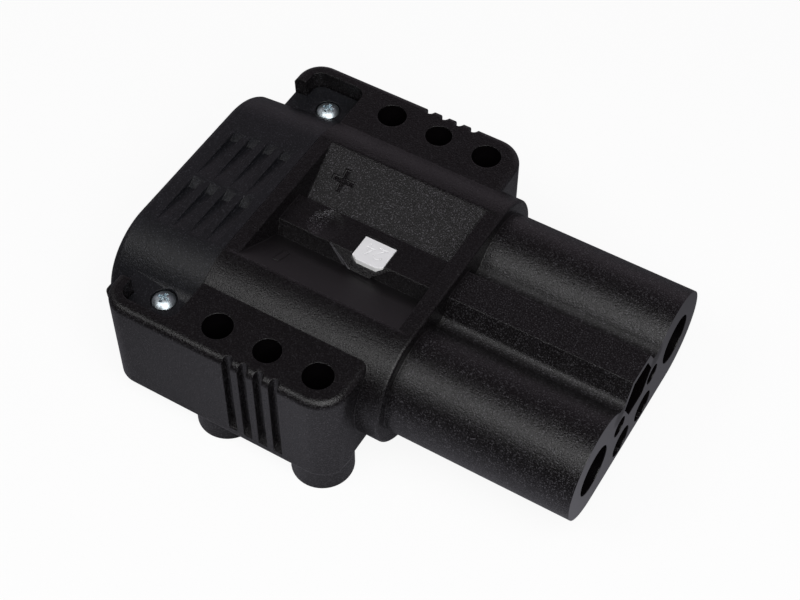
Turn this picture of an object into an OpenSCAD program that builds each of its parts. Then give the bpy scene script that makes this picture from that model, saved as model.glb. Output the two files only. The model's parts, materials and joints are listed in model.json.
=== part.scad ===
// Two-pole high-current battery connector, socket half.
// Frame while drawing: X towards the mating face, Z up, zero on the wing tops midway
// between the two middle wing holes. place() then stands the part on its four feet.

/* [Overall] */
// Middle wing holes forward to the mating face
face_x = 96.5; // [90:0.5:110]
// Middle wing holes forward to the front lip
lip_x = 35.6; // [33:0.1:42]
// Middle wing holes back to the joint between housing and clamp cover
seam_x = 30.4; // [29:0.1:33]
// Middle wing holes back to the cable end
tail_x = 64.2; // [62:0.1:75]

/* [Barrels] */
// Spacing of the two barrel axes
barrel_pitch = 52; // [50:0.5:56]
// Barrel axes below the wing tops
axis_drop = 17.2; // [16:0.1:19]
// Outer radius of the front barrels
barrel_r = 17.2; // [16.5:0.1:18.5]
// Outer radius of the rear body round the barrel axes
body_r = 21.4; // [20.5:0.1:23]
// Rounding of the trough's rear edge
tail_round = 2.5; // [1:0.1:5]
// Rounding of the lip's front edge
lip_round = 1; // [0.4:0.1:1.6]

/* [Coding ridge] */
// Hexagonal coding bore across its flats
hex_flats = 15.6; // [14.5:0.1:16]
// Wall of the ridge round the coding bore
ridge_wall = 2.2; // [1.8:0.1:2.6]
// Coding bore centre below the wing tops
hex_drop = 9.8; // [9.4:0.1:10.2]
// Rear end of the coding bore behind the middle wing holes
hex_end = 3; // [2:0.5:8]
// Outer edges of the label panels beyond the barrel axes
panel_out = 0.5; // [0:0.1:1.5]
// Depth of the panel foot below the wing tops
foot_drop = 4.1; // [3.5:0.1:4.8]
// Width of the front lip at its top
front_lip = 5.2; // [4:0.1:7]
// Width of the rear lip at its top
rear_lip = 4.7; // [4:0.1:6]
// Lean of the rear lip's front wall
lip_lean = 13; // [5:1:20]
// Diameter of the gate dimple
dimple_d = 12.4; // [8:0.1:13]
// Depth of the gate dimple
dimple_depth = 1.4; // [0.8:0.1:1.8]
// Middle wing holes back to the gate dimple's centre
dimple_x = 11; // [8:0.5:14]

/* [Coding key] */
// Length of the key's head
key_l = 11; // [9:0.1:12]
// Width of the key's head
key_w = 10.6; // [9.6:0.1:11]
// Middle wing holes forward to the key's centre
key_x = 7.4; // [6:0.1:9]
// Offset of the head's far edge beyond the ridge centre
key_far = 2.1; // [1.6:0.1:2.6]
// Corner cut on the near edge of the head
key_cut = 2; // [1:0.1:2.6]
// Head below the ridge top
key_sink = 0.3; // [0.1:0.1:0.6]
// Thickness of the key's head
key_t = 2.4; // [2:0.1:3]
// Width of the ledge that the head rests on
key_ledge = 3.3; // [2.6:0.1:3.6]
// Reach of the key's stem below its head
key_reach = 12; // [8:0.5:13]
// Clearance round the key
key_clear = 0.25; // [0.15:0.05:0.4]
// Frame of the window on the near side
window_frame = 3.4; // [2.5:0.1:4]
// Run of the tongue's rear slope along the ridge
tongue_rear = 10.4; // [8:0.1:12]
// Run of the tongue's front slope along the ridge
tongue_front = 5.4; // [4:0.1:7]
// Length of the pry notch beside the key
pry_l = 4.6; // [3:0.1:6]
// Depth of the pry notch
pry_depth = 1.2; // [0.6:0.1:1.6]

/* [Wings] */
// Spacing of the three holes along a wing
hole_pitch = 17.5; // [16.5:0.1:19]
// Spacing of the two rows of holes
row_spacing = 100; // [98:0.5:106]
// Diameter of the outer holes
hole_d = 9.6; // [8:0.1:11]
// Diameter of the middle holes
mid_hole_d = 8.8; // [7:0.1:10]
// Diameter of the feet round the outer holes
boss_d = 19.8; // [18.5:0.1:21]
// Wing walls outside the feet
boss_inset = 0.1; // [0.1:0.1:0.6]
// Front end of the wings in front of the feet
front_margin = 0.9; // [0.5:0.1:2]
// Lower edge of the wing walls below the wing tops
skirt_drop = 36.8; // [34:0.1:38]
// Feet below the wing walls
boss_h = 8.4; // [6:0.1:11]
// Middle wing holes back to the rear end of the wings
wing_tail = 54.6; // [52:0.1:58]
// Corner radius at the rear of the wings
rear_corner_r = 8.6; // [6:0.1:9]
// Draft of the wing's end walls over their height
wing_draft = 1.4; // [0:0.1:2]
// Rounding of the outer top edge
wing_round = 2.6; // [1:0.1:3]
// Thickness of the wing tops
top_plate = 7; // [5:0.1:10]
// Thickness of the wing walls
wing_wall = 4.2; // [3.4:0.1:4.6]
// Thickness of the inner ribs
rib_t = 3.6; // [3:0.1:4.4]
// Number of grip grooves in each outer wall
groove_count = 4; // [2:1:4]
// Pitch of the grip grooves in the outer walls
groove_pitch = 5.4; // [5:0.1:6]
// Width of a grip groove
groove_w = 3.1; // [2.4:0.1:3.6]
// Depth of a grip groove
groove_depth = 3; // [2:0.1:3.4]
// Lower end of the grip grooves above the wing walls' lower edge
groove_end = 2.2; // [1.5:0.1:8]

/* [Clamp cover] */
// Wall left round the ear pocket
rim_t = 4.6; // [3.8:0.1:5.4]
// Ear pocket floor below the wing tops
pocket_drop = 12.6; // [11.5:0.1:14]
// Fall of the cover's top towards the cable end
cover_fall = 5.7; // [3:0.1:7]
// Spacing of the cover's round flanks
cover_pitch = 49.4; // [46:0.1:50]
// Rounding of the cover's rear edge
cover_round = 4; // [2:0.1:6]
// Trim of the cover's rear edge outside its flanks
end_trim = 0.1; // [0.1:0.05:0.5]
// Ear top below the wing tops
ear_drop = 6.2; // [5:0.1:7]
// Corner radius of the ear pocket
pocket_r = 4; // [3:0.1:5]
// Width of the rear rim measured in from the wing's outer wall
rim_hook = 11.4; // [10:0.1:12]
// Rear end of the ears in front of the wings' rear end
ear_inset = 0.6; // [0.3:0.1:1.5]
// Clearance between cover and housing
cover_gap = 0.3; // [0.15:0.05:0.5]
// Spacing of the two cover screws
screw_spacing = 93; // [91:0.1:96]
// Diameter of the cable channels
cable_d = 24; // [20:0.5:24]
// Height of the cable clamp ribs
clamp_h = 1.4; // [0.8:0.1:2.4]
// Thickness of the cable clamp ribs
clamp_t = 2.6; // [2:0.1:4]
// Half width of the wire well between the cables
well_w = 13; // [12:0.1:13.5]
// Floor thickness of the wire well
well_floor = 5; // [3.5:0.1:6]
// Height of the wire well in the cover
well_h = 9.4; // [6:0.1:10]
// Number of finger grip rows
grip_rows = 4; // [2:1:4]
// Pitch of the finger grips along the cover
grip_pitch = 6.4; // [5.5:0.1:7]
// Length of a finger grip across the cover
grip_l = 22; // [18:0.5:23]
// Width of a finger grip
grip_w = 3.4; // [3:0.1:5]
// Depth of a finger grip
grip_depth = 1.3; // [0.8:0.1:1.8]
// Far end of the first grip column from the middle
grip_far = 17; // [14:0.5:20]
// Rear wall of the first grip row behind the joint
grip_start = 7.1; // [5:0.1:8]
// Share of a grip's depth that its floor rises towards the front
grip_rise = 0.7; // [0.4:0.05:0.9]
// Length of the ramp at the far end of a grip
grip_ramp = 4.2; // [3:0.1:5]
// Radius of the blend between cover and ears
ear_blend = 8; // [5:0.5:10]
// Bite of the blend into the cover's flank
blend_bite = 0.05; // [0.03:0.01:0.2]

/* [Screws] */
// Thread diameter of the cover screws
screw_d = 4; // [3:0.1:4.5]
// Length of the screws under the head
screw_l = 20; // [16:0.5:26]
// Head diameter
head_d = 7.4; // [6.4:0.1:8]
// Head height
head_h = 2.6; // [2:0.1:3]
// Height of the head's upright rim
head_rim = 0.9; // [0.6:0.1:1.4]
// Width of the cross recess
recess_w = 1.1; // [0.8:0.1:1.4]
// Depth of the counterbore in the ear
head_sink = 1.2; // [0.6:0.1:1.6]
// Room round the head in the counterbore
head_room = 1; // [0.6:0.1:1.4]
// Clearance of the screws in the ears
screw_clear = 0.4; // [0.2:0.1:0.8]
// Clearance of the screws in the housing
screw_fit = 0.1; // [0.05:0.05:0.3]
// Wall round the screws in the housing
screw_wall = 2.6; // [2:0.1:3]

/* [Contacts] */
// Spacing of the main contacts
contact_pitch = 55; // [53:0.5:57]
// Diameter of the housing mouths
mouth_d = 16.5; // [15.5:0.1:17.5]
// Length of the housing mouths
mouth_l = 19.5; // [16:0.5:24]
// Diameter of the pin that the main contacts take
pin_d = 14; // [12:0.1:14.4]
// Wall of the contact socket
socket_wall = 2.55; // [2.2:0.05:2.7]
// Running clearance of the pin in the socket
pin_clear = 0.3; // [0.1:0.05:0.5]
// Depth of the contact socket behind its spring band
socket_l = 36.7; // [30:0.1:44]
// Length of the spring band
band_l = 12; // [8:0.5:14]
// Thickness of the spring band
band_t = 0.6; // [0.4:0.05:0.9]
// Play of the spring band in its seat
band_play = 0.2; // [0.1:0.05:0.3]
// Width of the closed hoops at both ends of the band
band_hoop = 2; // [1.5:0.1:3]
// Number of slots round the band
band_slots = 12; // [8:1:16]
// Width of a slot in the band
slot_w = 1.2; // [0.8:0.1:1.4]
// Chamfer on the front edge of the contact
nose_cut = 0.6; // [0.3:0.1:1]
// Middle wing holes forward to the shoulder that the collar seats on
shoulder_x = 12; // [10:0.5:16]
// Thickness of the contact collar
collar_t = 4.3; // [3:0.1:6]
// Step from socket to collar
collar_step = 1.5; // [1:0.1:1.8]
// Step from socket down to crimp barrel
crimp_step = 0.2; // [0.1:0.1:0.6]
// Wall of the crimp barrel
crimp_wall = 2; // [1.8:0.1:3]
// Length of the crimp barrel behind the collar
crimp_l = 31; // [26:0.5:36]
// Depth of the crimp bore
crimp_depth = 28; // [20:0.5:32]
// Thickness of the retaining rings
ring_t = 1.8; // [1.2:0.1:2.4]
// Play of the retaining rings along their grooves
ring_play = 0.2; // [0.1:0.05:0.4]
// Opening of the retaining rings
ring_open = 4.4; // [3:0.1:8]
// Depth of the ring grooves in the chamber wall
ring_groove = 1.2; // [0.8:0.1:1.4]
// Clearance round the contacts
contact_clear = 0.3; // [0.2:0.05:0.4]

/* [Pilot contacts] */
// Half spacing of the pilot chambers
pilot_y = 11; // [10.8:0.1:11.4]
// Pilot chambers below the wing tops
pilot_drop = 15.6; // [15.3:0.1:16.2]
// Diameter of the pilot mouths
pilot_mouth_d = 7; // [6:0.1:7.2]
// Length of the pilot mouths
pilot_mouth_l = 12; // [8:0.5:20]
// Diameter of the necks that stop the pilot contacts
pilot_neck_d = 5.2; // [4.6:0.1:5.6]
// Length of the necks
pilot_neck_l = 2; // [1.5:0.1:4]
// Diameter of the pilot contact's socket
pilot_d = 5.2; // [4.6:0.1:5.6]
// Bore of the pilot contact
pilot_bore_d = 3; // [2:0.1:4]
// Depth of the pilot bore
pilot_depth = 14; // [10:0.5:20]
// Length of the pilot contact
pilot_l = 34; // [28:0.5:40]
// Length of the pilot contact's collar
pilot_collar_l = 3; // [2:0.1:5]
// Half spacing of the spare chambers
spare_y = 7.4; // [7:0.1:8]
// Spare chambers below the wing tops
spare_drop = 28; // [27.4:0.1:28.2]
// Diameter of the spare chambers
spare_d = 10.6; // [9:0.1:11]

/* [Hidden] */
$fn = 96;

// Overlap of cutters past the faces that they open
past = 1;
// Side of the positive pole, towards +Y, and of the negative pole
plus = 1;
minus = -1;
sides = [minus, plus];

// Heights and outlines that several pieces share
body_top = body_r - axis_drop;
stand = skirt_drop + boss_h;
mid_x = (face_x - tail_x) / 2;
ridge_apothem = hex_flats / 2 + ridge_wall;
ridge_top = ridge_apothem - hex_drop;
ridge_side = ridge_apothem / cos(30);
ridge_half = ridge_side / 2;
foot_y = ridge_half + (ridge_top + foot_drop) * tan(30);
panel_y = barrel_pitch / 2 + panel_out;
tongue_tip = key_far - key_w - window_frame;
stem_near = key_far - key_w + key_ledge;
key_seat = ridge_top - key_sink - key_t;

// Wing outline
boss_r = boss_d / 2;
wing_y = row_spacing / 2 + boss_r + boss_inset;
wing_front = hole_pitch + boss_r + front_margin;
wing_in = barrel_pitch / 2 + wing_wall;
front_corner_r = boss_r + boss_inset;
pocket_y = wing_y - rim_t;
rim_x = wing_tail - rim_t;
hook_y = wing_y - rim_hook;
ear_end = wing_tail - ear_inset;
cover_y = barrel_pitch / 2 + body_r + cover_gap;

// Tail and cable channels
tail_l = tail_x - seam_x;
cable_r = cable_d / 2;
well_end = tail_x - rib_t;
well_depth = body_r - well_floor;
clamp_x = [for (i = [1, 2]) seam_x + i * tail_l / 3];

// Cover screws stand in the middle of the ears
screw_x = (seam_x + rim_x) / 2;
screw_y = screw_spacing / 2;
seat_drop = ear_drop + head_sink;
screw_boss_r = screw_d / 2 + screw_wall;

// Contact chambers
contact_y = contact_pitch / 2;
bore_r = (pin_d + pin_clear) / 2;
socket_r = bore_r + socket_wall;
collar_r = socket_r + collar_step;
chamber_r = socket_r + contact_clear;
rear_r = collar_r + contact_clear;
mouth_end = face_x - mouth_l;
contact_front = mouth_end - contact_clear;
collar_back = shoulder_x - collar_t;
ring_out = rear_r + ring_groove - contact_clear;
ring_slot = ring_t + ring_play;
crimp_r = socket_r - crimp_step;
crimp_end = collar_back - crimp_l;
band_seat_r = bore_r + band_t + band_play;
pilot_front = face_x - pilot_mouth_l;
pilot_collar_r = pilot_mouth_d / 2 - contact_clear;

housing_colour = "#1b1a1b";
cover_colour = "#212226";
key_colour = "#e6e6e3";
zinc_colour = "#c9ced3";
copper_colour = "#c8c3bb";
brass_colour = "#b9985a";
steel_colour = "#8f9296";

// Stands the part on its feet, centred over them
module place() {
  translate([-mid_x, 0, stand]) children();
}

// Extrudes a section drawn as (Y, Z) from x0 to x1
module along_x(x0, x1) {
  translate([x0, 0, 0]) rotate([90, 0, 90]) linear_extrude(x1 - x0) children();
}

// A round bar or bore along X
module rod_x(x0, x1, r) {
  translate([x0, 0, 0]) rotate([0, 90, 0]) cylinder(h = x1 - x0, r = r);
}

module block(x0, x1, y0, y1, z0, z1) {
  translate([x0, y0, z0]) cube([x1 - x0, y1 - y0, z1 - z0]);
}

// Rectangle with true arcs at its corners
module round_rect(x0, y0, x1, y1, r) {
  translate([x0 + r, y0]) square([x1 - x0 - 2 * r, y1 - y0]);
  translate([x0, y0 + r]) square([x1 - x0, y1 - y0 - 2 * r]);
  for (x = [x0 + r, x1 - r], y = [y0 + r, y1 - r]) translate([x, y]) circle(r);
}

// Half section of a round bar with its far corner rounded
module end_profile(r, l, f) {
  difference() {
    square([r, l]);
    translate([r - f, l - f]) corner_cut(f);
  }
}

// What a true arc of radius r leaves of a square corner
module corner_cut(r) {
  difference() {
    square(r + past);
    circle(r);
  }
}

// Twin-barrel solid: the profile turned about both axes and drawn straight between them
module twin(pitch) {
  for (s = sides) translate([0, s * pitch / 2, -axis_drop]) rotate([0, 90, 0]) rotate_extrude() children();
  translate([0, pitch / 2, -axis_drop]) rotate([90, 0, 0]) linear_extrude(pitch) {
    mirror([1, 0]) rotate(90) children();
    rotate(-90) children();
  }
}

// Twin-barrel bar of radius r from the joint back to the cable end
module tail_solid(pitch, r, round) {
  translate([-seam_x, 0, 0]) mirror([1, 0, 0]) twin(pitch) end_profile(r, tail_l, round);
}

// Leans the cover down to the rear about its top front edge
module cover_lean() {
  translate([-seam_x, 0, body_top]) rotate([0, -cover_fall, 0]) translate([seam_x, 0, -body_top]) children();
}

// Outer form of the cover: a bar that falls to the rear, trimmed by an upright, rounded end
module cover_solid() {
  run = tail_l - cover_round;
  intersection() {
    cover_lean() translate([-seam_x, 0, 0]) mirror([1, 0, 0]) twin(cover_pitch) square([body_r, 2 * tail_l]);
    union() {
      block(-seam_x - run, past - seam_x, -cover_y, cover_y, -2 * axis_drop, body_top + past);
      translate([0, 0, -run * tan(cover_fall)]) tail_solid(cover_pitch, body_r + end_trim, cover_round);
    }
  }
}

// Space above the joint plane, behind the body
module upper_half(gap) {
  block(-tail_x - past, -seam_x - gap, -cover_y, cover_y, -axis_drop, body_top + past);
}

// Rear body between cover joint and front lip
module body() {
  translate([-seam_x, 0, 0]) twin(barrel_pitch) end_profile(body_r, lip_x + seam_x, lip_round);
}

module front_section() {
  base = axis_drop + barrel_r;
  for (s = sides) translate([s * barrel_pitch / 2, -axis_drop]) circle(barrel_r);
  translate([-barrel_pitch / 2, -base]) square([barrel_pitch, barrel_r]);
  translate([-ridge_side, -base]) square([2 * ridge_side, base - hex_drop]);
  translate([0, -hex_drop]) circle(ridge_side, $fn = 6);
}

// Sunken label panels on both sides of the coding ridge, between the lips
module panel_cut() {
  rise = body_top + past;
  rear = -seam_x + rear_lip;
  lean = tan(lip_lean) * (body_top + foot_drop + past);
  front = lip_x - front_lip;
  intersection() {
    along_x(rear - past, front + past)
      polygon([[-panel_y, rise], [-panel_y, body_top], [-foot_y, -foot_drop], [-ridge_half, ridge_top],
               [ridge_half, ridge_top], [foot_y, -foot_drop], [panel_y, body_top], [panel_y, rise]]);
    translate([0, panel_y + past, 0]) rotate([90, 0, 0]) linear_extrude(2 * (panel_y + past))
      polygon([[rear - tan(lip_lean) * past, rise], [front, rise], [front, -foot_drop - past],
               [rear + lean, -foot_drop - past]]);
  }
}

// Outline of the key's head, with both near corners cut
module key_outline(grow) {
  x0 = key_x - key_l / 2 - grow;
  x1 = key_x + key_l / 2 + grow;
  y0 = key_far - key_w - grow;
  y1 = key_far + grow;
  polygon([[x0, y1], [x1, y1], [x1, y0 + key_cut], [x1 - key_cut, y0], [x0 + key_cut, y0],
           [x0, y0 + key_cut]]);
}

// Outline of the key's stem, beside the ledge
module stem_outline(grow) {
  near = stem_near + key_clear - grow;
  translate([key_x - key_l / 2 - grow, near]) square([key_l + 2 * grow, key_far + grow - near]);
}

// Tongue that carries the window past the ridge on the near side
module tongue() {
  x0 = key_x - key_l / 2 + key_cut;
  x1 = key_x + key_l / 2 - key_cut;
  translate([0, 0, -foot_drop - past]) linear_extrude(foot_drop + past + ridge_top)
    polygon([[x0 - tongue_rear, -ridge_half + past], [x0 - tongue_rear, -ridge_half], [x0, tongue_tip],
             [x1, tongue_tip], [x1 + tongue_front, -ridge_half], [x1 + tongue_front, -ridge_half + past]]);
}

// Notch for prying the key out
module pry_notch() {
  block(key_x - pry_l / 2, key_x + pry_l / 2, tongue_tip + window_frame / 3, tongue_tip + window_frame,
        ridge_top - pry_depth, ridge_top + past);
}

module dimple() {
  r = (dimple_d * dimple_d / 4 + dimple_depth * dimple_depth) / (2 * dimple_depth);
  translate([-dimple_x, 0, ridge_top - dimple_depth + r]) sphere(r);
}

// Round corners of a wing: centre along X, radius, turn about Z
wing_corners = [[wing_front - front_corner_r, front_corner_r, 0],
                [-wing_tail + rear_corner_r, rear_corner_r, 90]];

module wing_outline() {
  difference() {
    translate([-wing_tail, wing_in]) square([wing_tail + wing_front, wing_y - wing_in]);
    for (c = wing_corners) translate([c[0], wing_y - c[1]]) rotate(c[2]) corner_cut(c[1]);
  }
}

// Draft taken off the front and rear walls
module end_drafts() {
  low = skirt_drop + past;
  translate([0, wing_y + past, 0]) rotate([90, 0, 0]) linear_extrude(wing_y) {
    polygon([[wing_front, 0], [wing_front + past, 0], [wing_front + past, -low],
             [wing_front - wing_draft, -low]]);
    polygon([[-wing_tail, 0], [-wing_tail - past, 0], [-wing_tail - past, -low],
             [-wing_tail + wing_draft, -low]]);
  }
}

// What the rounding takes off a top edge at distance d from the origin
module edge_profile(d) {
  translate([d - wing_round, -wing_round]) corner_cut(wing_round);
}

module wing_edge() {
  along_x(wing_corners[1][0], wing_corners[0][0]) edge_profile(wing_y);
  for (c = wing_corners) translate([c[0], wing_y - c[1], 0]) rotate([0, 0, c[2]])
    rotate_extrude(angle = 90) edge_profile(c[1]);
  translate([0, wing_y - front_corner_r, 0]) rotate([90, 0, 0]) linear_extrude(wing_y)
    edge_profile(wing_front);
  translate([0, wing_y - rear_corner_r, 0]) rotate([90, 0, 0]) linear_extrude(wing_y) mirror([1, 0])
    edge_profile(wing_tail);
}

// One grip groove, round at its inner wall and sloping out at its lower end
module groove() {
  z0 = -skirt_drop + groove_end;
  inner = wing_y - groove_depth;
  difference() {
    translate([0, 0, z0]) linear_extrude(skirt_drop) {
      translate([0, inner + groove_w / 2]) circle(groove_w / 2);
      translate([-groove_w / 2, inner + groove_w / 2]) square([groove_w, groove_depth + past]);
    }
    translate([-groove_w, 0, 0]) rotate([90, 0, 90]) linear_extrude(2 * groove_w)
      polygon([[inner - past, z0 - past], [wing_y, z0 - past], [wing_y, z0], [inner, z0 + groove_depth],
               [inner - past, z0 + groove_depth]]);
  }
}

// Pocket that an ear of the cover drops into, or the ear itself with a gap all round
module pocket_outline(gap, rear) {
  round_rect(-rim_x + gap, wing_in, -seam_x - gap, pocket_y - gap, pocket_r - gap);
  translate([-rear, wing_in]) square([rear - rim_x + pocket_r, hook_y - gap - wing_in]);
}

module wing() {
  under = skirt_drop + past;
  difference() {
    union() {
      difference() {
        translate([0, 0, -skirt_drop]) linear_extrude(skirt_drop) wing_outline();
        end_drafts();
        block(-seam_x + rib_t, wing_front - wing_wall, wing_in - past, wing_y - wing_wall, -under,
              -top_plate);
        block(-wing_tail + wing_wall, -seam_x, wing_in - past, wing_y - wing_wall, -under,
              -pocket_drop - rib_t);
      }
      for (x = [-hole_pitch, hole_pitch]) translate([x, row_spacing / 2, -stand])
        cylinder(h = stand - past, r = boss_r);
      translate([0, row_spacing / 2, -skirt_drop])
        cylinder(h = skirt_drop - past, d = mid_hole_d + 2 * wing_wall);
      translate([-screw_x, screw_y, -skirt_drop]) cylinder(h = skirt_drop - pocket_drop, r = screw_boss_r);
    }
    wing_edge();
    for (i = [0:groove_count - 1]) translate([(i - (groove_count - 1) / 2) * groove_pitch, 0, 0]) groove();
  }
}

module chamber() {
  translate([0, 0, -axis_drop]) {
    rod_x(mouth_end - past, face_x + past, mouth_d / 2);
    rod_x(shoulder_x - past, mouth_end, chamber_r);
    rod_x(-seam_x - past, shoulder_x, rear_r);
    rod_x(collar_back - ring_slot, collar_back, rear_r + ring_groove);
    rod_x(-tail_x - past, -seam_x, cable_r);
  }
}

// Ribs that grip the cable, standing in from the channel wall
module clamp_ribs() {
  for (s = sides, x = clamp_x) translate([0, s * contact_y, -axis_drop]) difference() {
    rod_x(-x - clamp_t / 2, -x + clamp_t / 2, cable_r + past);
    rod_x(-x - clamp_t, -x + clamp_t, cable_r - clamp_h);
  }
}

module wire_well(z0, z1) {
  block(-well_end, -seam_x, -well_w, well_w, z0, z1);
}

module housing() {
  color(housing_colour) place() {
    difference() {
      union() {
        body();
        difference() {
          tail_solid(barrel_pitch, body_r, tail_round);
          upper_half(0);
        }
        along_x(lip_x - past, face_x) front_section();
        for (s = [0, 1]) mirror([0, s, 0]) wing();
      }
      difference() {
        panel_cut();
        tongue();
      }
      dimple();
      pry_notch();
      upper_half(0);
      for (s = [0, 1]) mirror([0, s, 0]) {
        translate([0, 0, -pocket_drop]) linear_extrude(pocket_drop + past)
          pocket_outline(0, wing_tail + past);
        translate([-screw_x, screw_y, -seat_drop - screw_l - past])
          cylinder(h = screw_l + past, d = screw_d + screw_fit);
        for (x = [-hole_pitch, hole_pitch]) translate([x, row_spacing / 2, -stand - past])
          cylinder(h = stand + 2 * past, d = hole_d);
        translate([0, row_spacing / 2, -stand - past]) cylinder(h = stand + 2 * past, d = mid_hole_d);
        translate([0, contact_y, 0]) chamber();
        translate([0, pilot_y, -pilot_drop]) {
          rod_x(pilot_front + pilot_neck_l, face_x + past, pilot_mouth_d / 2);
          rod_x(pilot_front - past, pilot_front + pilot_neck_l + past, pilot_neck_d / 2);
          rod_x(-seam_x, pilot_front, pilot_mouth_d / 2);
        }
        translate([0, spare_y, -spare_drop]) rod_x(-seam_x, face_x + past, spare_d / 2);
      }
      wire_well(-axis_drop - well_depth, -axis_drop + past);
      translate([0, 0, -hex_drop]) rotate([90, 0, 90]) translate([0, 0, -hex_end])
        cylinder(h = face_x + hex_end + past, r = hex_flats / 2 / cos(30), $fn = 6);
      translate([0, 0, key_seat]) linear_extrude(key_sink + key_t + past) key_outline(key_clear);
      translate([0, 0, -hex_drop]) linear_extrude(hex_drop + key_seat + past) stem_outline(key_clear);
    }
    difference() {
      clamp_ribs();
      upper_half(0);
    }
  }
}

// One finger grip: a ramp at its far end, then a floor that runs out towards the near end
module grip() {
  rotate([0, -atan(grip_rise * grip_depth / grip_w), 0]) along_x(0, grip_w)
    polygon([[0, 0], [-grip_ramp, -grip_depth], [-grip_l, 0], [-grip_l, past], [0, past]]);
}

// Concave blend between the cover's flank and the top of an ear
module flank_blend() {
  rise = axis_drop - ear_drop;
  reach = sqrt(pow(body_r + ear_blend - blend_bite, 2) - pow(rise + ear_blend, 2));
  touch = body_r / (body_r + ear_blend);
  y0 = cover_pitch / 2;
  along_x(-wing_tail - past, -seam_x) difference() {
    polygon([[y0, -ear_drop - past], [y0 + reach, -ear_drop - past], [y0 + reach, -ear_drop],
             [y0 + touch * reach, touch * (rise + ear_blend) - axis_drop], [y0, -ear_drop]]);
    translate([y0 + reach, ear_blend - ear_drop]) circle(ear_blend);
  }
}

module cable_clamp_cover() {
  color(cover_colour) place() {
    difference() {
      union() {
        intersection() {
          cover_solid();
          upper_half(cover_gap / 2);
        }
        for (s = [0, 1]) mirror([0, s, 0]) {
          translate([0, 0, -pocket_drop]) linear_extrude(pocket_drop - ear_drop)
            pocket_outline(cover_gap, ear_end);
          intersection() {
            cover_lean() flank_blend();
            block(-ear_end, -seam_x - cover_gap, 0, hook_y - cover_gap, -pocket_drop, 0);
          }
        }
      }
      for (s = sides) translate([0, s * contact_y, -axis_drop]) rod_x(-tail_x - past, past - seam_x, cable_r);
      wire_well(-axis_drop - past, -axis_drop + well_h);
      for (s = sides) translate([-screw_x, s * screw_y, 0]) {
        translate([0, 0, -axis_drop - past]) cylinder(h = axis_drop, d = screw_d + screw_clear);
        translate([0, 0, -seat_drop]) cylinder(h = axis_drop, d = head_d + head_room);
      }
      cover_lean() for (i = [0:grip_rows - 1], y = [grip_far, grip_far - grip_l - past])
        translate([-seam_x - grip_start - i * grip_pitch, y, body_top]) grip();
    }
    intersection() {
      clamp_ribs();
      upper_half(cover_gap);
    }
  }
}

// Pan head screw with a cross recess
module cover_screw() {
  crown = head_h - head_rim;
  ball = (head_d * head_d / 4 + crown * crown) / (2 * crown);
  difference() {
    union() {
      translate([0, 0, -screw_l]) cylinder(h = screw_l, d = screw_d);
      intersection() {
        cylinder(h = head_h, d = head_d);
        translate([0, 0, head_h - ball]) sphere(ball);
      }
    }
    for (a = [0, 90]) rotate([0, 0, a]) translate([-head_d / 4, -recess_w / 2, head_h / 3])
      cube([head_d / 2, recess_w, head_h]);
  }
}

module cover_screws() {
  color(zinc_colour) place() for (s = sides) translate([-screw_x, s * screw_y, -seat_drop]) cover_screw();
}

// White key: head on the ledge of the window, stem standing in the coding bore
module coding_key() {
  color(key_colour) place() translate([0, 0, key_seat]) {
    linear_extrude(key_t) key_outline(0);
    translate([0, 0, -key_reach]) linear_extrude(key_reach + key_t / 2) stem_outline(0);
  }
}

// Turned main contact: spring band seat, pin socket, collar and crimp barrel
module main_contact() {
  rotate([0, 90, 0]) rotate_extrude() polygon([
    [0, collar_back], [0, contact_front - band_l - socket_l], [bore_r, contact_front - band_l - socket_l],
    [bore_r, contact_front - band_l], [band_seat_r, contact_front - band_l], [band_seat_r, contact_front],
    [socket_r - nose_cut, contact_front], [socket_r, contact_front - nose_cut], [socket_r, shoulder_x],
    [collar_r, shoulder_x], [collar_r, collar_back], [crimp_r, collar_back], [crimp_r, crimp_end],
    [crimp_r - crimp_wall, crimp_end], [crimp_r - crimp_wall, crimp_end + crimp_depth],
    [0, crimp_end + crimp_depth]
  ]);
}

module at_contact(side) {
  place() translate([0, side * contact_y, -axis_drop]) children();
}

module main_contact_plus() {
  color(copper_colour) at_contact(plus) main_contact();
}

module main_contact_minus() {
  color(copper_colour) at_contact(minus) main_contact();
}

// Slotted spring band in the front of a main contact
module contact_band() {
  r0 = band_seat_r - band_play;
  x1 = contact_front - band_play;
  x0 = contact_front - band_l;
  difference() {
    rod_x(x0, x1, r0);
    rod_x(x0 - past, x1 + past, r0 - band_t);
    for (i = [0:band_slots - 1]) rotate([i * 360 / band_slots, 0, 0])
      block(x0 + band_hoop, x1 - band_hoop, r0 - band_t - past, r0 + past, -slot_w / 2, slot_w / 2);
  }
}

module contact_band_plus() {
  color(steel_colour) at_contact(plus) contact_band();
}

module contact_band_minus() {
  color(steel_colour) at_contact(minus) contact_band();
}

// Open snap rings that hold the collars against their shoulders
module retaining_rings() {
  ring_in = crimp_r + contact_clear;
  color(steel_colour) for (s = sides) at_contact(s) difference() {
    rod_x(collar_back - ring_t, collar_back, ring_out);
    rod_x(collar_back - ring_t - past, collar_back + past, ring_in);
    block(collar_back - ring_t - past, collar_back + past, -ring_open / 2, ring_open / 2,
          -ring_out - past, 0);
  }
}

// Turned pilot contact, its collar stopped by the neck in the chamber
module pilot_contact() {
  back = pilot_front - pilot_l;
  bore = pilot_bore_d / 2;
  rotate([0, 90, 0]) rotate_extrude() polygon([
    [0, back], [0, pilot_front - pilot_depth], [bore, pilot_front - pilot_depth], [bore, pilot_front],
    [pilot_collar_r, pilot_front], [pilot_collar_r, pilot_front - pilot_collar_l],
    [pilot_d / 2, pilot_front - pilot_collar_l], [pilot_d / 2, back]
  ]);
}

module at_pilot(side) {
  place() translate([0, side * pilot_y, -pilot_drop]) children();
}

module pilot_contact_plus() {
  color(brass_colour) at_pilot(plus) pilot_contact();
}

module pilot_contact_minus() {
  color(brass_colour) at_pilot(minus) pilot_contact();
}

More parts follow.
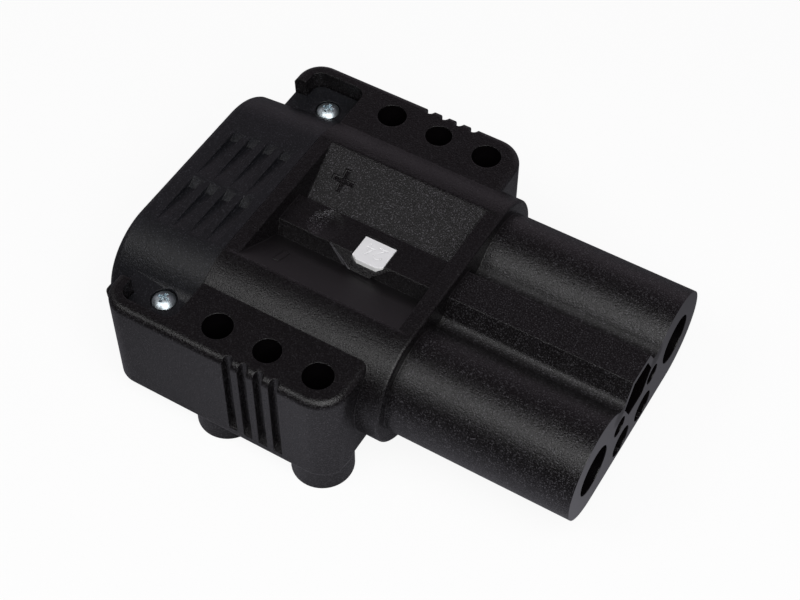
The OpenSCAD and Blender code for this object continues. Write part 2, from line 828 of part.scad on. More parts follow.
housing();
cable_clamp_cover();
cover_screws();
coding_key();
main_contact_plus();
main_contact_minus();
contact_band_plus();
contact_band_minus();
retaining_rings();
pilot_contact_plus();
pilot_contact_minus();
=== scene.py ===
import json
import math
import bmesh
import bpy
from mathutils import Matrix, Vector


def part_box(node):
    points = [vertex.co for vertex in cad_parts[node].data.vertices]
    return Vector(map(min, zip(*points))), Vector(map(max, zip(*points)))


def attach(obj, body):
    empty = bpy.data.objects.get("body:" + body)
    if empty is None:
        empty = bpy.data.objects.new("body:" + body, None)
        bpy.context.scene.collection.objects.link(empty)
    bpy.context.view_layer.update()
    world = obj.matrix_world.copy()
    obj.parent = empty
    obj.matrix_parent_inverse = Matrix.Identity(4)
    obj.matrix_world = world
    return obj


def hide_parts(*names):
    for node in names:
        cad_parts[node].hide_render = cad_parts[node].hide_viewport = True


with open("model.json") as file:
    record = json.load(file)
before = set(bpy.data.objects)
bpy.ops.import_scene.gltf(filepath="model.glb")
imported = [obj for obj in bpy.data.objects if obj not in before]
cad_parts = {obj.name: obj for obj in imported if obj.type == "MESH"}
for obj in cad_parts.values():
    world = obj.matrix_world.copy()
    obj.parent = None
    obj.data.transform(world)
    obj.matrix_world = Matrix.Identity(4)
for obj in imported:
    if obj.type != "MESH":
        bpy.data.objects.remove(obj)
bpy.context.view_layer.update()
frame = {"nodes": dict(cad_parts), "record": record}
mm = 0.001                                     # metres in a millimetre
nodes = frame["nodes"]
print("frame:", len(nodes), "solids loaded")


class Wire:                                    # a shader socket that can stand in a sum
    def __init__(self, tree, port):
        self.tree = tree
        self.port = port

    def node(self, kind, setup, plugs, out=0):
        made = self.tree.nodes.new("ShaderNode" + kind)
        for name, value in setup.items():
            setattr(made, name, value)
        for name, value in plugs.items():
            if isinstance(value, Wire):
                self.tree.links.new(value.port, made.inputs[name])
            else:
                made.inputs[name].default_value = value
        return Wire(self.tree, made.outputs[out])

    def maths(self, operation, a, b):
        return self.node("Math", {"operation": operation}, {0: a, 1: b})

    def __add__(self, other):
        return self.maths("ADD", self, other)

    def __sub__(self, other):
        return self.maths("SUBTRACT", self, other)

    def __rsub__(self, other):
        return self.maths("SUBTRACT", other, self)

    def __mul__(self, other):
        return self.maths("MULTIPLY", self, other)

    def __gt__(self, other):
        return self.maths("GREATER_THAN", self, other)

    def __lt__(self, other):
        return self.maths("LESS_THAN", self, other)

    def __abs__(self):
        return self.maths("ABSOLUTE", self, 0)

    __radd__ = __add__
    __rmul__ = __mul__


def newFinish(name):                           # an empty material, its shader and its object coordinates
    finish = bpy.data.materials.new(name)
    finish.use_nodes = True
    tree = finish.node_tree
    tree.nodes.clear()
    shader = tree.nodes.new("ShaderNodeBsdfPrincipled")
    output = tree.nodes.new("ShaderNodeOutputMaterial")
    tree.links.new(shader.outputs["BSDF"], output.inputs["Surface"])
    where = Wire(tree, tree.nodes.new("ShaderNodeTexCoord").outputs["Object"])
    return finish, shader, where


def feed(shader, **plugs):                     # links or sets the shader's sockets
    for name, value in plugs.items():
        socket = shader.inputs[name.replace("_", " ")]
        if isinstance(value, Wire):
            value.tree.links.new(value.port, socket)
        else:
            socket.default_value = value


def along(vector, axes):                       # the vector's numbers along those axes
    return [vector.node("SeparateXYZ", {}, {0: vector}, axis) for axis in axes]


def within(value, span):                       # 1 between both ends of the span, else 0
    return (value > span[0]) * (value < span[1])


def ramp(value, span):                         # from 0 at the first end of the span to 1 at the other
    return value.node("MapRange", {}, {0: value, 1: span[0], 2: span[1]})


def squares(a, b):
    return a * a + b * b


def noise(where, size, roughness=0.5, detail=2):   # even noise with grains of that size in metres
    return where.node("TexNoise", {}, {"Vector": where, "Scale": 1 / size, "Detail": detail,
                                       "Roughness": roughness}, "Fac")


def blendColours(share, first, second):        # each a wire or a plain colour
    first, second = (colour if isinstance(colour, Wire) else (*colour, 1) for colour in (first, second))
    return share.node("Mix", {"data_type": "RGBA"}, {0: share, 6: first, 7: second}, 2)


def facing(where):                             # the surface's own normal
    return where.node("NewGeometry", {}, {}, "Normal")


def softEdges(where, edge):                    # normals rounded over that distance
    return where.node("Bevel", {"samples": 6}, {"Radius": edge}, "Normal")


def bumped(where, height, strength, depth, normal):
    return where.node("Bump", {}, {"Strength": strength, "Distance": depth, "Height": height,
                                   "Normal": normal}, "Normal")


housingLook = {
    "dark": (0.0014, 0.0010, 0.0012), "light": (0.0036, 0.0028, 0.0034), "cloud": 9 * mm,
    "grain": 0.48 * mm, "grainRoughness": 0.6, "grainDepth": 0.16 * mm, "edge": 0.45 * mm,
    "calm": 0.1, "coarse": 2.0,                # share of the grain on smooth faces and on the far panel
    # partly painted glint: lighter, partly metallic specks standing in for the glints of the grain
    "glintFleck": (0.17, 0.165, 0.18), "fleckSize": 0.42 * mm, "fleckSpan": (0.56, 0.66), "glintShare": 0.09,
    "smoothGlintCut": 0.75,                      # share of the painted glint specks taken off smooth faces
    # painted glint: specks multiplied on the far panel, outer walls, barrels and lit half of the dimple, where the
    # lamps make the grain sparkle
    "farPanelGlint": 4.8, "wallGlint": 2.6, "litBowlGlint": 9.0, "barrelGlint": 2.6,
    "wallsFrom": 40 * mm, "barrelsFrom": 20 * mm,
    "roughness": 0.3, "roughnessSpread": 0.25, "farRough": 0.34, "nearRough": 0.12, "footRough": 0.3,
    "signGloss": 0.12, "innerGloss": 0.16, "specular": 0.36,
    "faceX": 80.2 * mm, "faceCoat": 0.45, "coatRoughness": 0.3,
    "panelX": (-41.9 * mm, 14.3 * mm), "panelY": (8.5 * mm, 26.3 * mm), "panelRise": (-1.5 * mm, 0.4 * mm),
    "panelFoot": (8.256 * mm, 41.1 * mm), "panelSlope": 0.4551, "sunkRise": -0.12 * mm,
    "barrelAxis": (26 * mm, 28 * mm), "mouth": 16.5 * mm, "hexZ": 35.2 * mm, "hexReach": 9.3 * mm,
    "smallHolesY": 15 * mm, "smallHolesZ": (12 * mm, 34.5 * mm), "boresFrom": 20 * mm,
    "wingHolesX": (-40 * mm, 7 * mm), "wingHolesY": (44 * mm, 56 * mm), "wingHolesZ": (8.7 * mm, 44.9 * mm),
    "bowlX": (-34 * mm, -20 * mm), "bowlY": 5.7 * mm, "bowlZ": (43 * mm, 45.37 * mm), "bowlTurn": (-0.02, 0.16),
    "creaseY": (7.4 * mm, 9.0 * mm), "creaseZ": (40.5 * mm, 42 * mm),
    # painted highlight: light line along the step where the wings meet the feet
    "footLineZ": 8.4 * mm, "footLineHalf": 0.2 * mm, "footLineHighlight": 0.6,
    # painted highlight along the sharp edge of the slope beside the key
    "crestLine": (0.3626, 0.932, 13.564 * mm), "crestHalf": 0.14 * mm, "crestHighlight": 0.5,
    "crestX": -13 * mm, "crestY": (-9.3 * mm, -5.9 * mm), "crestZ": 41 * mm,
    "foot": (12.2 * mm, 37.2 * mm), "footReach": (1.5 * mm, 4.5 * mm), "footFrom": 18 * mm,
}


def housingFinish(look):                       # grained black moulding
    finish, shader, where = newFinish("grainedBlackMoulding")
    x, y, z = along(where, range(3))
    aside = abs(y)                             # distance from the middle plane
    face = x > look["faceX"]
    outer = aside > look["wallsFrom"]

    panelY, panelZ = look["panelFoot"]
    rise = z - panelZ - look["panelSlope"] * (aside - panelY)
    panel = within(x, look["panelX"]) * within(aside, look["panelY"]) * within(rise, look["panelRise"])
    far, near = panel * (y > 0), panel * (y < 0)
    sunk = panel * (rise < look["sunkRise"])   # inside the sunk sign
    smooth = x.maths("MINIMUM", near + face + sunk, 1)

    barrelY, barrelZ = look["barrelAxis"]
    inMouth = squares(aside - barrelY, z - barrelZ) < look["mouth"] ** 2
    inBore = squares(y, z - look["hexZ"]) < look["hexReach"] ** 2
    inSmall = (aside < look["smallHolesY"]) * within(z, look["smallHolesZ"])
    inWing = within(aside, look["wingHolesY"]) * within(z, look["wingHolesZ"]) * within(x, look["wingHolesX"])
    inside = x.maths("MINIMUM", inMouth + (inBore + inSmall) * (x > look["boresFrom"]) + inWing, 1)
    inside = inside * within(x, (-look["faceX"], look["faceX"]))

    flat = facing(where)
    forward, upward = along(flat, (0, 2))
    wall = 1 - abs(upward)
    bowl = within(x, look["bowlX"]) * within(z, look["bowlZ"]) * (aside < look["bowlY"])
    bowl = bowl * ramp(forward, look["bowlTurn"])                   # rear half of the dimple, the half the lamps light: painted highlight
    crease = within(aside, look["creaseY"]) * within(z, look["creaseZ"])
    footLineGlint = (abs(z - look["footLineZ"]) < look["footLineHalf"]) * outer      # painted highlight along the step round the feet
    lineX, lineY, lineOffset = look["crestLine"]
    crestGlint = (abs(lineX * x + lineY * y + lineOffset) < look["crestHalf"]) * within(y, look["crestY"])
    crestGlint = crestGlint * (x < look["crestX"]) * (z > look["crestZ"])     # painted highlight along the sharp edge of the slope beside the key
    footY, footZ = look["foot"]
    foot = 1 - ramp(squares(aside - footY, z - footZ), [reach ** 2 for reach in look["footReach"]])
    foot = foot * (x > look["footFrom"])                            # rounded feet of the ridge

    grain = noise(where, look["grain"], look["grainRoughness"])
    texture = (1 - (1 - look["calm"]) * smooth) * (1 - inside) * (1 + (look["coarse"] - 1) * far * (1 - sunk))
    # painted glint: more specks where the lamps make the grain sparkle
    glintPlenty = (1 + look["farPanelGlint"] * far + look["wallGlint"] * wall * outer + look["litBowlGlint"] * bowl
              + look["barrelGlint"] * (x > look["barrelsFrom"]))
    # partly painted glint: specks made lighter and metallic where the grain would glint, none in the holes
    glintFleck = ramp(noise(where, look["fleckSize"], look["grainRoughness"]), look["fleckSpan"])
    glintFleck = glintFleck * look["glintShare"] * (1 - look["smoothGlintCut"] * smooth) * (1 - inside) * glintPlenty
    # painted highlight lines along the step round the feet and the sharp edge of the slope beside the key
    glintFleck = glintFleck + (look["footLineHighlight"] * footLineGlint + look["crestHighlight"] * crestGlint) * (1 - inside)
    colour = blendColours(noise(where, look["cloud"]), look["dark"], look["light"])

    soft = softEdges(where, look["edge"])
    soft = crease.node("Mix", {"data_type": "VECTOR"}, {0: crease, 4: soft, 5: flat}, 1)
    rough = look["roughness"] + look["roughnessSpread"] * (grain - 0.5) * texture
    rough = rough + look["farRough"] * far + look["nearRough"] * near + look["footRough"] * foot
    rough = rough * (1 - inside) + look["innerGloss"] * inside
    feed(shader, Base_Color=blendColours(glintFleck, colour, look["glintFleck"]), Metallic=glintFleck,
         Roughness=rough * (1 - sunk) + look["signGloss"] * sunk,
         Normal=bumped(where, grain * texture, 1.0, look["grainDepth"], soft),
         Specular_IOR_Level=look["specular"], Coat_Weight=look["faceCoat"] * face,
         Coat_Roughness=look["coatRoughness"])
    return finish


coverLook = {"dark": (0.0024, 0.0026, 0.0036), "light": (0.0052, 0.0054, 0.0072), "cloud": 7 * mm,
             "grain": 0.5 * mm, "grainRoughness": 0.55, "grainDepth": 0.1 * mm, "edge": 0.35 * mm,
             # partly painted glint: lighter, partly metallic specks standing in for the glints of the grain
             "glintFleck": (0.15, 0.152, 0.175), "fleckSize": 0.42 * mm, "fleckRoughness": 0.6,
             "fleckSpan": (0.58, 0.68), "glintShare": 0.26,
             "roughness": 0.42, "roughnessSpread": 0.2, "specular": 0.38}


def coverFinish(look):                         # smoother, bluish black of the cover
    finish, shader, where = newFinish("smoothBlackMoulding")
    grain = noise(where, look["grain"], look["grainRoughness"])
    # partly painted glint: specks made lighter and metallic where the grain would glint
    glintFleck = ramp(noise(where, look["fleckSize"], look["fleckRoughness"]), look["fleckSpan"]) * look["glintShare"]
    colour = blendColours(noise(where, look["cloud"]), look["dark"], look["light"])
    feed(shader, Base_Color=blendColours(glintFleck, colour, look["glintFleck"]), Metallic=glintFleck,
         Roughness=look["roughness"] + look["roughnessSpread"] * (grain - 0.5),
         Normal=bumped(where, grain, 1.0, look["grainDepth"], softEdges(where, look["edge"])),
         Specular_IOR_Level=look["specular"])
    return finish


keyLook = {"shade": (0.70, 0.70, 0.71), "light": (0.78, 0.78, 0.80), "cloud": 3 * mm,
           # painted light: paler colour for the near wall, which faces the lamps
           "front": (0.96, 0.96, 0.96), "frontTurn": (-0.3, -0.9),
           "grain": 0.6 * mm, "grainDepth": 0.004 * mm, "grainStrength": 0.5, "edge": 0.2 * mm,
           "roughness": 0.38, "roughnessSpread": 0.1}


def keyFinish(look):                           # white moulded nylon
    finish, shader, where = newFinish("whiteNylon")
    grain = noise(where, look["grain"])
    colour = blendColours(noise(where, look["cloud"]), look["shade"], look["light"])
    frontward, = along(facing(where), (1,))
    front = ramp(frontward, look["frontTurn"])                      # painted light: near wall paler, where it faces the lamps
    soft = softEdges(where, look["edge"])
    feed(shader, Base_Color=blendColours(front, colour, look["front"]),
         Roughness=look["roughness"] + look["roughnessSpread"] * (grain - 0.5),
         Normal=bumped(where, grain, look["grainStrength"], look["grainDepth"], soft))
    return finish


metalLooks = {
    "zinc_screw": {"name": "brightZinc", "dark": (0.36, 0.43, 0.47), "light": (0.72, 0.78, 0.81),
                   "mottle": 0.7 * mm, "roughness": 0.4, "spread": 0.22, "depth": 0.02 * mm,
                   "edge": 0.15 * mm},
    "plated_copper": {"name": "silverPlate", "dark": (0.67, 0.655, 0.63), "light": (0.80, 0.785, 0.76),
                      "mottle": 2.5 * mm, "roughness": 0.26, "spread": 0.16, "depth": 0.008 * mm,
                      "edge": 0.2 * mm},
    "spring_steel": {"name": "springSteel", "dark": (0.30, 0.30, 0.32), "light": (0.48, 0.48, 0.50),
                     "mottle": 1.2 * mm, "roughness": 0.30, "spread": 0.18, "depth": 0.006 * mm,
                     "edge": 0.1 * mm},
    "pilot_brass": {"name": "turnedBrass", "dark": (0.55, 0.38, 0.14), "light": (0.78, 0.58, 0.26),
                    "mottle": 1.5 * mm, "roughness": 0.25, "spread": 0.15, "depth": 0.006 * mm,
                    "edge": 0.1 * mm},
}
turning = {"pitch": 4 * mm, "distortion": 1.5, "detail": 2, "share": 0.5, "strength": 0.4,
           "mottleRoughness": 0.6, "mottleDetail": 3}


def metalFinish(look):                         # plated or turned metal with a faint mottle
    finish, shader, where = newFinish(look["name"])
    mottle = noise(where, look["mottle"], turning["mottleRoughness"], turning["mottleDetail"])
    turned = where.node("TexWave", {"bands_direction": "X"},
                        {"Vector": where, "Scale": 1 / turning["pitch"], "Distortion": turning["distortion"],
                         "Detail": turning["detail"]}, "Fac")
    marks = turned * turning["share"] + mottle * (1 - turning["share"])
    soft = softEdges(where, look["edge"])
    feed(shader, Base_Color=blendColours(mottle, look["dark"], look["light"]), Metallic=1.0,
         Roughness=look["roughness"] + look["spread"] * (mottle - 0.5),
         Normal=bumped(where, marks, turning["strength"], look["depth"], soft))
    return finish


def weldedCopy(node):                          # closed bmesh of a solid, corners joined
    shape = bmesh.new()
    shape.from_mesh(nodes[node].data)
    bmesh.ops.remove_doubles(shape, verts=shape.verts, dist=0.001 * mm)
    return shape


def newPiece(name, shape):
    mesh = bpy.data.meshes.new(name)
    shape.to_mesh(mesh)
    shape.free()
    piece = bpy.data.objects.new(name, mesh)
    bpy.context.scene.collection.objects.link(piece)
    return piece


def prism(outline, low, high, shrink=1):       # closed prism, its floor smaller where there is draft
    shape = bmesh.new()
    floor = [shape.verts.new((x * shrink, y * shrink, low)) for x, y in outline]
    rim = [shape.verts.new((x, y, high)) for x, y in outline]
    shape.faces.new(reversed(floor))
    shape.faces.new(rim)
    for i in range(len(outline)):
        j = (i + 1) % len(outline)
        shape.faces.new((floor[i], floor[j], rim[j], rim[i]))
    bmesh.ops.recalc_face_normals(shape, faces=shape.faces)
    return shape


def bar(name, line, x0, x1):                   # closed bar along X with that outline in Y and Z
    shape = bmesh.new()
    ends = [[shape.verts.new((x, y, z)) for y, z in line] for x in (x0, x1)]
    shape.faces.new(ends[0])
    shape.faces.new(reversed(ends[1]))
    for i in range(len(line)):
        j = (i + 1) % len(line)
        shape.faces.new((ends[0][j], ends[0][i], ends[1][i], ends[1][j]))
    bmesh.ops.recalc_face_normals(shape, faces=shape.faces)
    return newPiece(name, shape)


def combine(piece, operation, tools):          # cuts or joins the tools for good
    for tool in tools:
        step = piece.modifiers.new("step", "BOOLEAN")
        step.operation = operation
        step.solver = "EXACT"
        step.object = tool
    graph = bpy.context.evaluated_depsgraph_get()
    carved = bpy.data.meshes.new_from_object(piece.evaluated_get(graph))
    piece.modifiers.clear()
    piece.data = carved
    for tool in tools:
        bpy.data.objects.remove(tool)


def shadeByAngle(piece, degrees):              # smooth faces, with sharp edges kept
    limit = math.radians(degrees)
    shape = bmesh.new()
    shape.from_mesh(piece.data)
    for face in shape.faces:
        face.smooth = True
    for edge in shape.edges:
        edge.smooth = len(edge.link_faces) == 2 and edge.calc_face_angle() < limit
    shape.to_mesh(piece.data)
    shape.free()
    weighted = piece.modifiers.new("flatFaces", "WEIGHTED_NORMAL")
    weighted.keep_sharp = True


def dress(piece, node, finish):          # the piece stands for the solid
    piece.data.materials.clear()
    piece.data.materials.append(finish)
    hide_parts(node)
    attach(piece, "root")


signs = {"plus": (-32.4 * mm, 17.7 * mm), "arm": 4.3 * mm, "depth": 0.75 * mm, "over": 1 * mm, "draft": 0.9,
         "minus": (-31.9 * mm, -18.45 * mm), "minusArm": 3.35 * mm, "proud": 0.3 * mm, "root": 0.5 * mm,
         "bar": 1.05 * mm, "lean": 24.4, "footY": 8.256 * mm, "footZ": 41.1 * mm, "sharp": 28}


def signOutline(arm, cross):                   # bar up the panel, with or without its crossing bar
    b = signs["bar"]
    if not cross:
        return [(-b, -arm), (b, -arm), (b, arm), (-b, arm)]
    return [(arm, -b), (arm, b), (b, b), (b, arm), (-b, arm), (-b, b),
            (-arm, b), (-arm, -b), (-b, -b), (-b, -arm), (b, -arm), (b, -b)]


def signShape(name, shape):                    # laid on the sloping label panel
    x, y = signs[name]
    lean = math.radians(signs["lean"]) * (1 if y > 0 else -1)
    z = signs["footZ"] + (abs(y) - signs["footY"]) * math.tan(abs(lean))
    sign = newPiece(name, shape)
    sign.matrix_world = Matrix.Translation((x, y, z)) @ Matrix.Rotation(lean, 4, "X")
    return sign


valley = {"radius": 3.0 * mm, "overlap": 0.012 * mm, "from": 18 * mm, "to": 80.33 * mm, "steps": 12,
          "flankLean": 30, "barrel": (-26.0 * mm, 28.0 * mm), "barrelRadius": 17.2 * mm,
          "ridgeTop": (-5.7735 * mm, 45.4 * mm), "under": (-11.0 * mm, 35.7 * mm)}


def valleyBar(name, side):                     # rounded foot between the ridge's flank and a barrel
    r = valley["radius"]
    lean = math.radians(valley["flankLean"])
    flank = Vector((-math.cos(lean), math.sin(lean)))               # out of the flank
    down = Vector((-math.sin(lean), -math.cos(lean)))
    barrel = Vector(valley["barrel"])
    start = Vector(valley["ridgeTop"]) + r * flank - barrel
    reach = valley["barrelRadius"] + r
    half = start.dot(down)
    run = -half - math.sqrt(half * half - start.length_squared + reach * reach)
    centre = start + run * down + barrel
    first = (-flank).angle_signed(Vector((1, 0)))
    last = (barrel - centre).normalized().angle_signed(Vector((1, 0)))
    if last > first:
        last -= 2 * math.pi
    wide = r + valley["overlap"]
    turns = [first + (last - first) * i / valley["steps"] for i in range(valley["steps"] + 1)]
    line = [centre + wide * Vector((math.cos(turn), math.sin(turn))) for turn in turns]
    line.append(Vector(valley["under"]))
    return bar(name, [(p.x * -side, p.y) for p in line], valley["from"], valley["to"])


slope = {"cutX": (-22.8, 0.3),                 # all in millimetres
         "flank": [(-5.782, 45.405), (-8.26, 41.115), (-12.6, 43.1), (-12.6, 46.5), (-5.782, 46.5)],
         "topX": (-22.5, -0.1), "top": (-5.8, 45.34), "topIn": (-4.5, 44.59),
         "toeX": (-13.4, -6.6), "toe": (-9.5, 41.42), "toeIn": (-7.42, 40.22),
         "pocketZ": (42.69, 47.0),
         "pocket": [(-14.51, -4.0), (-14.51, -6.3), (-12.35, -7.5), (-5.15, -7.5), (-2.99, -6.3), (-2.99, -4.0)]}


def flankCutter():                             # clears the flank beside the key down to the panel
    x0, x1 = (x * mm for x in slope["cutX"])
    return bar("flankCutter", [(y * mm, z * mm) for y, z in slope["flank"]], x0, x1)


def slopeWedge():                              # facet from the ridge's top edge down to the panel
    shape = bmesh.new()
    for edge, ends in (("top", "topX"), ("topIn", "topX"), ("toe", "toeX"), ("toeIn", "toeX")):
        for x in slope[ends]:
            shape.verts.new(Vector((x, *slope[edge])) * mm)
    bmesh.ops.convex_hull(shape, input=shape.verts)
    bmesh.ops.recalc_face_normals(shape, faces=shape.faces)
    return newPiece("slopeWedge", shape)


def pocketCutter():                            # seat of the key in the slope
    low, high = (z * mm for z in slope["pocketZ"])
    return newPiece("pocketCutter", prism([(x * mm, y * mm) for x, y in slope["pocket"]], low, high))


housing = newPiece("housing_shell", weldedCopy("housing"))
combine(housing, "DIFFERENCE", [flankCutter()])
minusOutline, plusOutline = signOutline(signs["minusArm"], False), signOutline(signs["arm"], True)
minus = signShape("minus", prism(minusOutline, -signs["root"], signs["proud"]))
plus = signShape("plus", prism(plusOutline, -signs["depth"], signs["over"], signs["draft"]))
combine(housing, "UNION", [valleyBar("nearValley", -1), valleyBar("farValley", 1), slopeWedge(), minus])
combine(housing, "DIFFERENCE", [pocketCutter(), plus])
shadeByAngle(housing, signs["sharp"])
dress(housing, "housing", housingFinish(housingLook))
print("housing:", len(housing.data.polygons), "faces with both pole signs")

keyPiece = {"lift": 0.1 * mm, "level": 0.01 * mm, "flat": 1, "bevel": 0.2 * mm, "bevelSteps": 3, "sharp": 25,
            "nearEdge": (-8.4 * mm, -7.3 * mm), "corner": (-6.4 * mm, -6.2 * mm),     # beyond the first, to the second
            "stroke": 0.55 * mm, "digitDepth": 0.22 * mm, "over": 1 * mm, "turn": 180,
            "digitCentre": (-3.15 * mm, -2.2 * mm, 0), "digitsIn": 0.9 * mm,
            "digits": [[(0, 3.3), (0.25, 4.0), (0.85, 4.4), (1.6, 4.4), (2.2, 4.0), (2.45, 3.3), (2.2, 2.6),
                        (0.1, 0), (2.6, 0)],
                       [(5.4, 4.4), (3.65, 1.3), (6.35, 1.3)], [(5.6, 2.5), (5.6, -0.25)]]}


def ribbon(line, wide):                        # outline of a line of that width, corners mitred
    points = [Vector(point) * mm for point in line]
    runs = [(b - a).normalized() for a, b in zip(points, points[1:])]
    left, right = [], []
    for point, before, after in zip(points, runs[:1] + runs, runs + runs[-1:]):
        across = Vector((-before.y - after.y, before.x + after.x)) / (1 + before.dot(after))
        left.append(point + across * wide / 2)
        right.append(point - across * wide / 2)
    return [tuple(point) for point in left + right[::-1]]


def digitCutters(at):                          # plain number for engraving
    place = (Matrix.Translation(at) @ Matrix.Rotation(math.radians(keyPiece["turn"]), 4, "Z")
             @ Matrix.Translation(keyPiece["digitCentre"]))
    cutters = []
    for line in keyPiece["digits"]:
        outline = ribbon(line, keyPiece["stroke"])
        cutter = newPiece("digit", prism(outline, -keyPiece["digitDepth"], keyPiece["over"]))
        cutter.matrix_world = place
        cutters.append(cutter)
    return cutters


keyLow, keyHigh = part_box("coding_key")
keyShape = weldedCopy("coding_key")
bmesh.ops.dissolve_limit(keyShape, angle_limit=math.radians(keyPiece["flat"]), verts=keyShape.verts,
                         edges=keyShape.edges)
for vert in keyShape.verts:
    for limit, y in (keyPiece["nearEdge"], keyPiece["corner"]):
        if vert.co.y < limit:
            vert.co.y = y
            break
    if vert.co.z > keyHigh.z - keyPiece["level"]:
        vert.co.z += keyPiece["lift"]
keyHigh.z += keyPiece["lift"]
topEdges = [e for e in keyShape.edges if all(v.co.z > keyHigh.z - keyPiece["level"] for v in e.verts)]
bmesh.ops.bevel(keyShape, geom=topEdges, offset=keyPiece["bevel"], segments=keyPiece["bevelSteps"],
                profile=0.5, affect="EDGES")
key = newPiece("coding_key_cap", keyShape)
keyMiddle = (keyLow + keyHigh) / 2
combine(key, "DIFFERENCE", digitCutters((keyMiddle.x, keyMiddle.y + keyPiece["digitsIn"], keyHigh.z)))
shadeByAngle(key, keyPiece["sharp"])
dress(key, "coding_key", keyFinish(keyLook))
print("coding key:", len(key.data.polygons), "faces")

grips = {"rows": 4, "columns": 2, "pitch": 6.4 * mm, "gap": 1 * mm, "long": 22 * mm, "wide": 3.6 * mm,
         "deep": 1.65 * mm, "ramp": 3.4 * mm, "over": 1 * mm, "far": 17.06 * mm, "start": 7.18 * mm, "tilt": 4.0,
         "seamX": -46.55 * mm, "top": 49.4 * mm, "fall": 5.7, "sharp": 28}


def gripCutter(row, column):                   # ramp at the far end, floor running out to the near end
    deep, long, over = grips["deep"], grips["long"], grips["over"]
    line = [(0, 0), (-grips["ramp"], -deep), (-long, 0), (-long, over), (0, over)]
    cutter = bar(f"grip{row}{column}", line, 0, grips["wide"])
    far = grips["far"] - column * (long + grips["gap"])
    place = Matrix.Translation((-grips["start"] - row * grips["pitch"], far, 0))
    tilt = Matrix.Rotation(-math.radians(grips["tilt"]), 4, "Y")
    fall = Matrix.Rotation(-math.radians(grips["fall"]), 4, "Y")
    cutter.matrix_world = Matrix.Translation((grips["seamX"], 0, grips["top"])) @ fall @ place @ tilt
    return cutter


cover = newPiece("cable_clamp_cover_shell", weldedCopy("cable_clamp_cover"))
combine(cover, "DIFFERENCE", [gripCutter(row, column) for row in range(grips["rows"])
                              for column in range(grips["columns"])])
shadeByAngle(cover, grips["sharp"])
dress(cover, "cable_clamp_cover", coverFinish(coverLook))
print("cover:", len(cover.data.polygons), "faces with finger grips")

finishes = {slot: metalFinish(look) for slot, look in metalLooks.items()}
for part in frame["record"]["subparts"]:
    finish = finishes.get(part["material_slot"])
    if finish:
        nodes[part["node"]].material_slots[0].material = finish
print("finishes:", len(finishes), "metals")

studio = {"floorHalf": 3.0, "floorColour": (0.90, 0.90, 0.90), "white": 0.9,
          # painted pool of light on the floor as seen in reflections, brightest near the part, with a bluish tint
          "glossNear": 0.53, "glossFar": 0.11, "glossCentre": (0.02, -0.055, 0.0), "glossReach": (0.02, 0.16),
          "glossTint": (0.97, 0.95, 1.06), "shadowReach": 0.035,
          "roomFront": (0.036, 0.031, 0.036), "roomBack": (0.44, 0.385, 0.435), "roomLean": 0.9,
          "roomSpan": (-0.4, 0.9)}


def floorFinish():                             # pale floor, white where seen; in reflections a painted pool of light round the part, painted shadow under it and a bluish tint
    finish = bpy.data.materials.new("paleFloor")
    finish.use_nodes = True
    tree = finish.node_tree
    tree.nodes.clear()
    rays = tree.nodes.new("ShaderNodeLightPath").outputs
    seen = Wire(tree, rays["Is Camera Ray"])
    glint = seen.maths("MAXIMUM", Wire(tree, rays["Is Glossy Ray"]), Wire(tree, rays["Is Transmission Ray"]))
    # painted shadow: the floor darker in reflections near and under the part
    clear = seen.node("AmbientOcclusion", {"samples": 8}, {"Distance": studio["shadowReach"]}, "AO")
    place = seen.node("NewGeometry", {}, {}, "Position")
    reach = seen.node("VectorMath", {"operation": "DISTANCE"}, {0: place, 1: studio["glossCentre"]}, "Value")
    start, end = studio["glossReach"]
    away = seen.node("MapRange", {"interpolation_type": "SMOOTHSTEP"}, {0: reach, 1: start, 2: end})
    paintedPool = studio["glossNear"] + (studio["glossFar"] - studio["glossNear"]) * away
    tint = blendColours(seen, studio["glossTint"], (1, 1, 1))
    white = seen.node("Emission", {}, {"Color": tint, "Strength": seen + glint * clear * paintedPool})
    plain = seen.node("BsdfDiffuse", {}, {"Color": (*studio["floorColour"], 1)})
    mixed = seen.node("MixShader", {}, {0: seen * studio["white"] + glint, 1: plain, 2: white})
    output = tree.nodes.new("ShaderNodeOutputMaterial")
    tree.links.new(mixed.port, output.inputs["Surface"])
    return finish


floorShape = bmesh.new()
bmesh.ops.create_grid(floorShape, x_segments=4, y_segments=4, size=studio["floorHalf"])
floor = newPiece("floor", floorShape)
floor.data.materials.append(floorFinish())

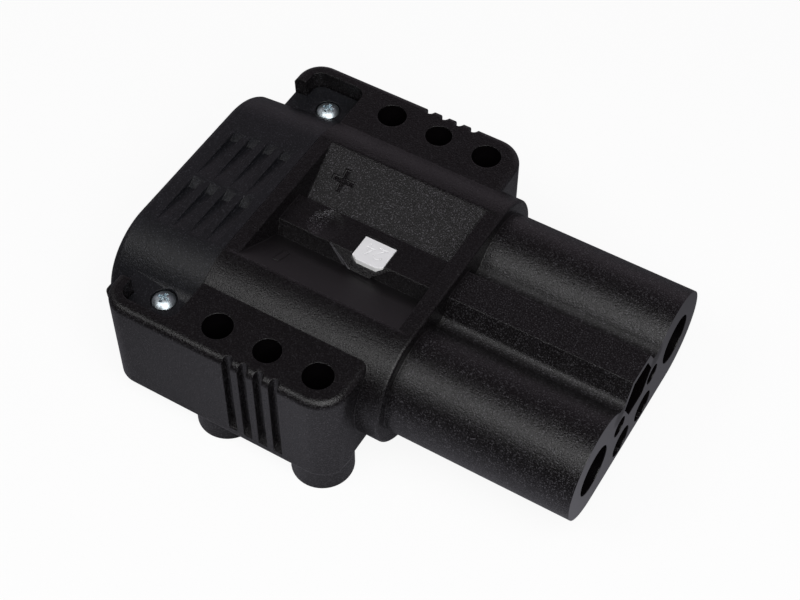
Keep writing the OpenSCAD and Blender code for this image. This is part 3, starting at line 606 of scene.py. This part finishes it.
world = bpy.data.worlds.new("dimRoom")
world.use_nodes = True
room = Wire(world.node_tree, world.node_tree.nodes.new("ShaderNodeTexCoord").outputs["Generated"])
depth, height = along(room, (1, 2))
behind = ramp(depth - studio["roomLean"] * height, studio["roomSpan"])
shade = blendColours(behind, studio["roomFront"], studio["roomBack"])
world.node_tree.links.new(shade.port, world.node_tree.nodes["Background"].inputs["Color"])
bpy.context.scene.world = world

lamps = {
    "mainSoftbox": {"toward": (0.42, -0.40, 0.80), "away": 1.2, "size": 1.05, "watts": 14.0},
    "frontLeftFill": {"toward": (-0.35, -0.49, 0.80), "away": 1.4, "size": 0.6, "watts": 4.3},
    "leftFill": {"toward": (-0.84, -0.02, 0.54), "away": 1.4, "size": 0.7, "watts": 0.8},
}
aim = Vector((0, 0, 25 * mm))
for name, lamp in lamps.items():
    light = bpy.data.lights.new(name, "AREA")
    light.size = lamp["size"]
    light.energy = lamp["watts"]
    holder = bpy.data.objects.new(name, light)
    toward = Vector(lamp["toward"]).normalized()
    holder.location = aim + toward * lamp["away"]
    holder.rotation_euler = toward.to_track_quat("Z", "Y").to_euler()
    bpy.context.scene.collection.objects.link(holder)
print("studio: floor, dim room and", len(lamps), "lamps")

view = {"azimuth": 30.45, "elevation": 52.06, "roll": 0.35, "target": (0.6 * mm, -2.5 * mm, 28 * mm),
        "away": 520.1 * mm, "lens": 75.32, "clip": 0.01}
cameraData = bpy.data.cameras.new("camera")
cameraData.lens = view["lens"]
cameraData.clip_start = view["clip"]
camera = bpy.data.objects.new("camera", cameraData)
azimuth, elevation, roll = (math.radians(view[angle]) for angle in ("azimuth", "elevation", "roll"))
back = Vector((math.sin(azimuth) * math.cos(elevation), -math.cos(azimuth) * math.cos(elevation),
               math.sin(elevation)))
turn = back.to_track_quat("Z", "Y").to_matrix().to_4x4() @ Matrix.Rotation(roll, 4, "Z")
camera.matrix_world = Matrix.Translation(Vector(view["target"]) + back * view["away"]) @ turn
bpy.context.scene.collection.objects.link(camera)
bpy.context.scene.camera = camera
bpy.context.scene.view_settings.view_transform = "Standard"
print("camera: set")
